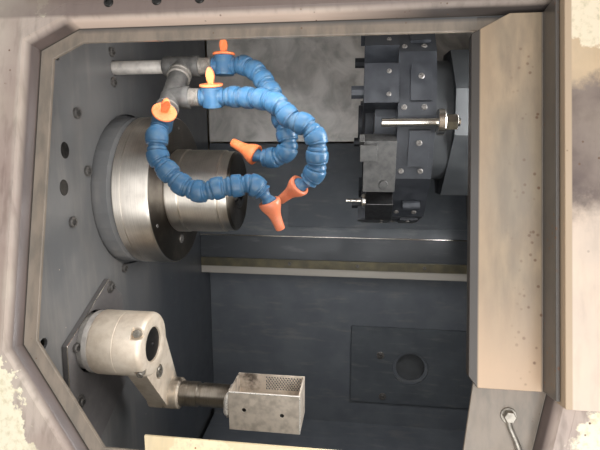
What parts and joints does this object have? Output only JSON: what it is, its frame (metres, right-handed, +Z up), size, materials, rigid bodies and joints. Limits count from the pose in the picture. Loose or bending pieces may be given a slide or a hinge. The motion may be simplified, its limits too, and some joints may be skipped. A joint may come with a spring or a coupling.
{
  "type": "cnc turning lathe",
  "caption": "Enclosed slant-bed turning lathe with collet spindle, tool turret, swinging parts catcher, jointed coolant hoses and a sliding door that stands open.",
  "frame": {"origin": "centre of the machine's footprint at floor level", "axes": "+X along the spindle from the headstock to the turret, +Y to the back of the machine, +Z up"},
  "size_m": [1.8, 1.24, 1.66],
  "materials": {
    "cream_paint": "semi-gloss cream enamel, chipped at edges",
    "tan_paint": "worn tan enamel with oily film and rust spots",
    "dark_paint": "dark grey enamel with an oily film",
    "dark_sheet": "blackened sheet and turret steel",
    "stainless_sheet": "smeared bright sheet",
    "bare_steel": "turned and ground steel",
    "grey_casting": "grey painted casting",
    "black_oxide": "black oxide",
    "cast_aluminium": "machined casting with grime",
    "brass_strip": "dull brass",
    "belt_rubber": "matt black",
    "blue_plastic": "moulded mid blue",
    "orange_plastic": "moulded orange",
    "red_plastic": "moulded red",
    "window_glass": "laminated safety glass"
  },
  "bodies": {
    "machine": {"bed_casting": "grey_casting", "headstock_casting": "grey_casting", "spindle_cartridge": "bare_steel", "drive_belt": "belt_rubber", "spindle_motor": "dark_paint", "way_rail_lower": "bare_steel", "way_rail_upper": "bare_steel", "left_wall_plate": "dark_paint", "back_panel": "stainless_sheet", "way_cover": "dark_sheet", "wiper_strip": "brass_strip", "chute": "dark_sheet", "access_plate": "dark_sheet", "hex_plate": "dark_sheet", "catcher_collar": "bare_steel", "coolant_manifold": "bare_steel", "valve_body_1": "blue_plastic", "valve_body_2": "blue_plastic", "valve_body_3": "blue_plastic", "hose_1": "blue_plastic", "hose_2": "blue_plastic", "hose_3": "blue_plastic", "front_cover": "cream_paint", "sill_strip": "cream_paint", "lower_front_cover": "cream_paint", "left_end_cover": "cream_paint", "right_end_cover": "cream_paint", "roof_cover": "cream_paint", "electrical_cabinet": "cream_paint", "coolant_tank": "dark_paint", "control_panel": "dark_paint"},
    "spindle": {"spindle": "bare_steel", "collet_chuck": "bare_steel", "spindle_pulley": "grey_casting"},
    "collet": {"collet": "black_oxide"},
    "motor_shaft": {"motor_pulley": "grey_casting"},
    "saddle": {"saddle": "grey_casting", "saddle_cover": "dark_sheet"},
    "z_screw": {"z_ball_screw": "bare_steel"},
    "cross_slide": {"cross_slide": "grey_casting"},
    "x_screw": {"x_ball_screw": "bare_steel"},
    "turret": {"turret_disc": "dark_sheet", "turning_tool": "bare_steel", "drill_holder": "bare_steel", "boring_bar": "bare_steel"},
    "catcher": {"catcher_arm": "cast_aluminium", "catcher_rod": "black_oxide", "catcher_bucket": "bare_steel"},
    "lever_1": {"valve_lever_1": "orange_plastic"},
    "lever_2": {"valve_lever_2": "orange_plastic"},
    "lever_3": {"valve_lever_3": "orange_plastic"},
    "nozzle_tip_1": {"nozzle_1": "orange_plastic"},
    "nozzle_tip_2": {"nozzle_2": "orange_plastic"},
    "nozzle_tip_3": {"nozzle_3": "orange_plastic"},
    "door": {"door_panel": "cream_paint", "door_post": "tan_paint", "door_window": "window_glass", "door_handle": "black_oxide"},
    "cabinet_door": {"cabinet_door": "cream_paint"},
    "emergency_button": {"emergency_button": "red_plastic"}
  },
  "joints": [
    {"name": "spindle_spin", "type": "hinge", "parent": "machine", "child": "spindle", "pos_m": [-0.3, -0.28, 1.05], "axis": [1, 0, 0], "continuous": true},
    {"name": "collet_close", "type": "slide", "parent": "spindle", "child": "collet", "axis": [1, 0, 0], "range_m": [-0.003, 0]},
    {"name": "motor_spin", "type": "hinge", "parent": "machine", "child": "motor_shaft", "pos_m": [-0.7, 0.23, 0.33], "axis": [1, 0, 0], "continuous": true},
    {"name": "z_slide", "type": "slide", "parent": "machine", "child": "saddle", "axis": [1, 0, 0], "range_m": [-0.09, 0.18]},
    {"name": "z_screw_spin", "type": "hinge", "parent": "machine", "child": "z_screw", "pos_m": [0, 0.13828, 0.99314], "axis": [1, 0, 0], "range_deg": [-6600, 3300]},
    {"name": "x_slide", "type": "slide", "parent": "saddle", "child": "cross_slide", "axis": [0, 0.7071, 0.7071], "range_m": [0, 0.09]},
    {"name": "x_screw_spin", "type": "hinge", "parent": "saddle", "child": "x_screw", "pos_m": [0.29, -0.05122, 1.04122], "axis": [0, 0.7071, 0.7071], "range_deg": [-3300, 60]},
    {"name": "turret_index", "type": "hinge", "parent": "cross_slide", "child": "turret", "pos_m": [0.05, -0.18345, 1.14658], "axis": [1, 0, 0], "continuous": true},
    {"name": "catcher_swing", "type": "hinge", "parent": "machine", "child": "catcher", "pos_m": [-0.28, -0.41, 0.881], "axis": [1, 0, 0], "range_deg": [0, 70]},
    {"name": "valve_turn_1", "type": "hinge", "parent": "machine", "child": "lever_1", "pos_m": [-0.184, -0.308, 1.211], "axis": [0, 0, 1], "range_deg": [0, 90]},
    {"name": "valve_turn_2", "type": "hinge", "parent": "machine", "child": "lever_2", "pos_m": [-0.187, -0.35043, 1.16857], "axis": [0, -0.2425, 0.9701], "range_deg": [0, 90]},
    {"name": "valve_turn_3", "type": "hinge", "parent": "machine", "child": "lever_3", "pos_m": [-0.238, -0.37871, 1.14029], "axis": [0.4508, -0.6312, 0.6312], "range_deg": [0, 90]},
    {"name": "nozzle_tilt_1", "type": "hinge", "parent": "machine", "child": "nozzle_tip_1", "pos_m": [-0.138, -0.344, 1.101], "axis": [0.2425, 0.9701, 0], "range_deg": [-15, 15]},
    {"name": "nozzle_tilt_2", "type": "hinge", "parent": "machine", "child": "nozzle_tip_2", "pos_m": [-0.08, -0.375, 1.067], "axis": [0.5087, 0.8609, 0], "range_deg": [-15, 15]},
    {"name": "nozzle_tilt_3", "type": "hinge", "parent": "machine", "child": "nozzle_tip_3", "pos_m": [-0.111, -0.393, 1.049], "axis": [0.5547, -0.8321, 0], "range_deg": [-15, 15]},
    {"name": "door_slide", "type": "slide", "parent": "machine", "child": "door", "axis": [1, 0, 0], "range_m": [-0.405, 0]},
    {"name": "cabinet_hinge", "type": "hinge", "parent": "machine", "child": "cabinet_door", "pos_m": [0.512, 0.608, 0.9], "axis": [0, 0, 1], "range_deg": [-110, 0]},
    {"name": "emergency_press", "type": "slide", "parent": "machine", "child": "emergency_button", "axis": [0, 1, 0], "range_m": [0, 0.004], "stiffness_N_per_m": 2000}
  ],
  "couplings": [
    {"joint": "motor_spin", "follows": "spindle_spin", "ratio": 1.6364},
    {"joint": "z_screw_spin", "follows": "z_slide", "rad_per_m": -628.32},
    {"joint": "x_screw_spin", "follows": "x_slide", "rad_per_m": -628.32}
  ]
}
